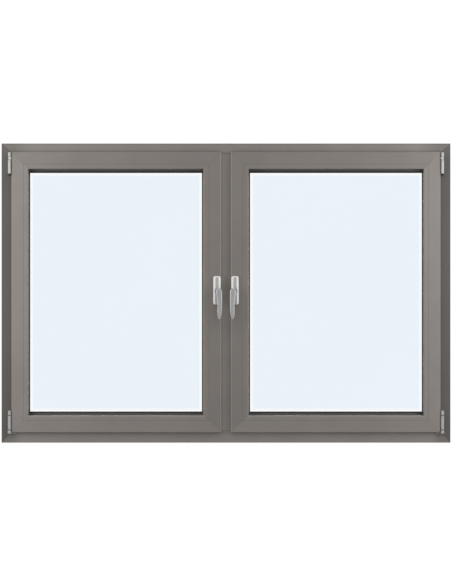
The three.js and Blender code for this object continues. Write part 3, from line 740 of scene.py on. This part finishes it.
def make_fork(side):
    """The fork on the frame under the corner hinge: two rounded cheeks either side of the pin block."""
    x, y = PIN
    low, high = FOOT_LOW.z, FOOT_HIGH.z
    bm = bmesh.new()
    for way in (-1, 1):
        near, far = sorted((x + way * 3.4 * MM, x + way * (BARREL - 0.1 * MM)))
        softened_box(bm, (near, y - 4.6 * MM, low), (far, FOOT_HIGH.y, high), 0.9 * MM, 4)
    softened_box(bm, (x - BARREL, y + 7 * MM, low), (x + BARREL, FOOT_HIGH.y, high), 0.9 * MM, 4)
    softened_box(bm, (x - BARREL, -59.5 * MM, low), (x + BARREL, -58.3 * MM, high - 0.3 * MM), 0.5 * MM)
    back = FOOT_HIGH.y
    softened_box(bm, (x + 5 * MM, back - 4 * MM, low), (x + 24 * MM, back, low + 3.8 * MM), 1.2 * MM, 4)
    add_piece(side, "corner_hinge_fork", bm, "barrel", "frame", ["lower_hinge_bearing"])


def make_lock(side):
    """The lock rod in the sash's edge: a flat strip with mushroom cams and rivet heads."""
    low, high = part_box("left_lock_rod")
    strip_face = low.x + 2.5 * MM
    middle = (low.y + high.y) / 2
    bm = bmesh.new()
    softened_box(bm, low, (strip_face, high.y, high.z), 0.6 * MM)
    for z in CAM_HEIGHTS:
        cam = [(2.4 * MM, strip_face - 0.5 * MM), (2.4 * MM, high.x - 5.5 * MM)]
        cam += [(2.8 * MM, high.x - 4.6 * MM), (4 * MM, high.x - 3.4 * MM), (4 * MM, high.x - 2.4 * MM)]
        cam += [(3.4 * MM, high.x - 1.2 * MM), (2 * MM, high.x)]
        turned(bm, (0, middle, z), cam, "x", 28)
    rivet = [(3 * MM, strip_face - 0.2 * MM), (3 * MM, strip_face + 0.5 * MM)]
    rivet += [(2.2 * MM, strip_face + 1.0 * MM)]
    for z in RIVET_HEIGHTS:
        turned(bm, (0, middle, z), rivet, "x", 24)
    add_piece(side, "lock_strip", bm, "steel", "rod", ["lock_rod"])


def make_gearbox_screws(side):
    """Two cross-recessed screws on the gear case's face."""
    low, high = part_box("left_gearbox")
    bm = bmesh.new()
    for z in (low.z + 9 * MM, high.z - 9 * MM):
        centre = (high.x + 0.1 * MM, (low.y + high.y) / 2, z)
        screw_head(bm, centre, SCREW["radius"], "x", 1, SCREW["recess"])
    add_piece(side, "gearbox_screws", bm, "steel", "sash")


def make_drain_slots(side):
    """Drainage slots on the floor of the sill's rebate: a shallow raised rim round a black block that is
    painted shade, standing for the shade inside the slot's opening.
    """
    floor = FRAME_LOW.z + 50 * MM
    for kind, reach, rise, material, slot in (
        ("rim", 0, 0.35 * MM, "sill_foil", "foiled_profile"),
        # Painted shade: a black block in the slot's opening stands for the shade inside it.
        ("painted_shade_mouth", 1.6 * MM, 0.55 * MM, "rubber", "gasket"),
    ):
        bm = bmesh.new()
        for x in DRAIN_PLACES:
            low = (x - 15 * MM + reach, 2 * MM + reach, floor - 0.4 * MM)
            softened_box(bm, low, (x + 15 * MM - reach, 11 * MM - reach, floor + rise), 0.3 * MM)
        add_piece(side, f"drain_slot_{kind}", bm, material, "frame")


def make_screws(side):
    """Cross-recessed screws through the striker."""
    striker_low, striker_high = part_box("left_striker")
    bm = bmesh.new()
    for z in (striker_low.z + 5 * MM, striker_high.z - 5 * MM):
        centre = (striker_high.x - 1.25 * MM, (striker_low.y + striker_high.y) / 2, z)
        screw_head(bm, centre, SCREW["radius"], "x", -1, SCREW["recess"])
    add_piece(side, "striker_screws", bm, "steel", "frame")


def make_side(side):
    make_glazing_seals(side)
    make_outer_seal(side)
    make_stop_seal(side)
    make_handle_base(side)
    make_lever(side)
    make_upper_hinge(side)
    make_lower_hinge(side)
    make_fork(side)
    make_lock(side)
    make_gearbox_screws(side)
    make_drain_slots(side)
    make_screws(side)


# --------------------------------------------------------------------------------------------------
# Stage, light and camera
# --------------------------------------------------------------------------------------------------

FLOOR_DROP = 0.9  # the window's sill is this far above the floor
FLOOR_RADIUS = 3.4
CAMERA_DISTANCE = 14.0  # from the sashes' room side
FIELD_HEIGHT = 2.340  # what the picture's longer side takes in at that distance
CAMERA_RISE = 0.0044  # of the lens above the window's middle
FILL_STRENGTH = 0.42  # how strongly the surroundings light the object


def make_camera():
    data = bpy.data.cameras.new("camera")
    data.sensor_width = 36.0
    data.lens = data.sensor_width * CAMERA_DISTANCE / FIELD_HEIGHT
    data.clip_end = 100.0
    camera = bpy.data.objects.new("camera", data)
    bpy.context.collection.objects.link(camera)
    middle = (FRAME_LOW.z + FRAME_HIGH.z) / 2
    camera.location = (0, SASH_FACE - CAMERA_DISTANCE, middle + CAMERA_RISE)
    camera.rotation_euler = (math.pi / 2, 0, 0)
    bpy.context.scene.camera = camera


def make_world():
    """A plain white studio: white where it is seen, and dimmer where it lights the object."""
    world = bpy.data.worlds.new("studio")
    bpy.context.scene.world = world
    world.use_nodes = True
    tree = world.node_tree
    seen = tree.nodes["Background"]
    seen.inputs["Color"].default_value = (1, 1, 1, 1)
    seen.inputs["Strength"].default_value = 1.0
    lit = tree.nodes.new("ShaderNodeBackground")
    lit.inputs["Color"].default_value = (1, 0.99, 0.985, 1)
    lit.inputs["Strength"].default_value = FILL_STRENGTH
    path = tree.nodes.new("ShaderNodeLightPath")
    either = tree.nodes.new("ShaderNodeMath")
    either.operation = "MAXIMUM"
    tree.links.new(path.outputs["Is Camera Ray"], either.inputs[0])
    tree.links.new(path.outputs["Is Transmission Ray"], either.inputs[1])
    mix = tree.nodes.new("ShaderNodeMixShader")
    tree.links.new(either.outputs[0], mix.inputs["Fac"])
    tree.links.new(lit.outputs[0], mix.inputs[1])
    tree.links.new(seen.outputs[0], mix.inputs[2])
    tree.links.new(mix.outputs[0], tree.nodes["World Output"].inputs["Surface"])


def area_light(name, place, target, size, power):
    data = bpy.data.lights.new(name, "AREA")
    data.shape = "RECTANGLE"
    data.size, data.size_y = size
    data.energy = power
    light = bpy.data.objects.new(name, data)
    bpy.context.collection.objects.link(light)
    light.location = place
    light.rotation_euler = (Vector(target) - Vector(place)).to_track_quat("-Z", "Y").to_euler()
    light.visible_camera = False


def make_lights():
    middle = (FRAME_LOW.z + FRAME_HIGH.z) / 2
    area_light("left_soft_box", (-1.55, -1.05, middle + 0.35), (-0.8, 0, middle), (0.6, 1.8), 14.5)
    area_light("right_soft_box", (1.55, -1.05, middle + 0.35), (0.8, 0, middle), (0.6, 1.8), 14.5)
    area_light("top_soft_box", (0, -1.6, 2.6), (0, 0, middle), (2.4, 0.8), 10.5)
    area_light("back_soft_box", (0, 2.6, 2.4), (0, 0, middle), (2.4, 1.2), 40)


def make_floor():
    """A pale round floor that fades out into the white surroundings."""
    mesh = bpy.data.meshes.new("floor")
    bm = bmesh.new()
    bmesh.ops.create_circle(bm, cap_ends=True, radius=FLOOR_RADIUS, segments=96)
    bm.to_mesh(mesh)
    bm.free()
    floor = bpy.data.objects.new("floor", mesh)
    bpy.context.collection.objects.link(floor)
    floor.location.z = FRAME_LOW.z - FLOOR_DROP
    n = Nodes("floor_paint")
    speck = n.noise(n.coordinates((1, 1, 1)), 30.0, 4.0, 0.6)
    away = n.add("ShaderNodeVectorMath", operation="LENGTH")
    n.tree.links.new(n.add("ShaderNodeTexCoord").outputs["Object"], away.inputs[0])
    n.set(
        Base_Color=n.tinted((0.9, 0.9, 0.895), n.ramp(speck, 0.985, 1.0, 0.3, 0.7)),
        Roughness=0.75,
        Alpha=n.ramp(away.outputs["Value"], 1.0, 0.0, 1.4, 3.3),
    )
    mesh.materials.append(n.material)


# --------------------------------------------------------------------------------------------------

scene = bpy.context.scene
scene.view_settings.view_transform = "Standard"

make_camera()
make_world()
make_lights()
make_floor()
paint_nodes()
for side in SIDES:
    make_side(side)
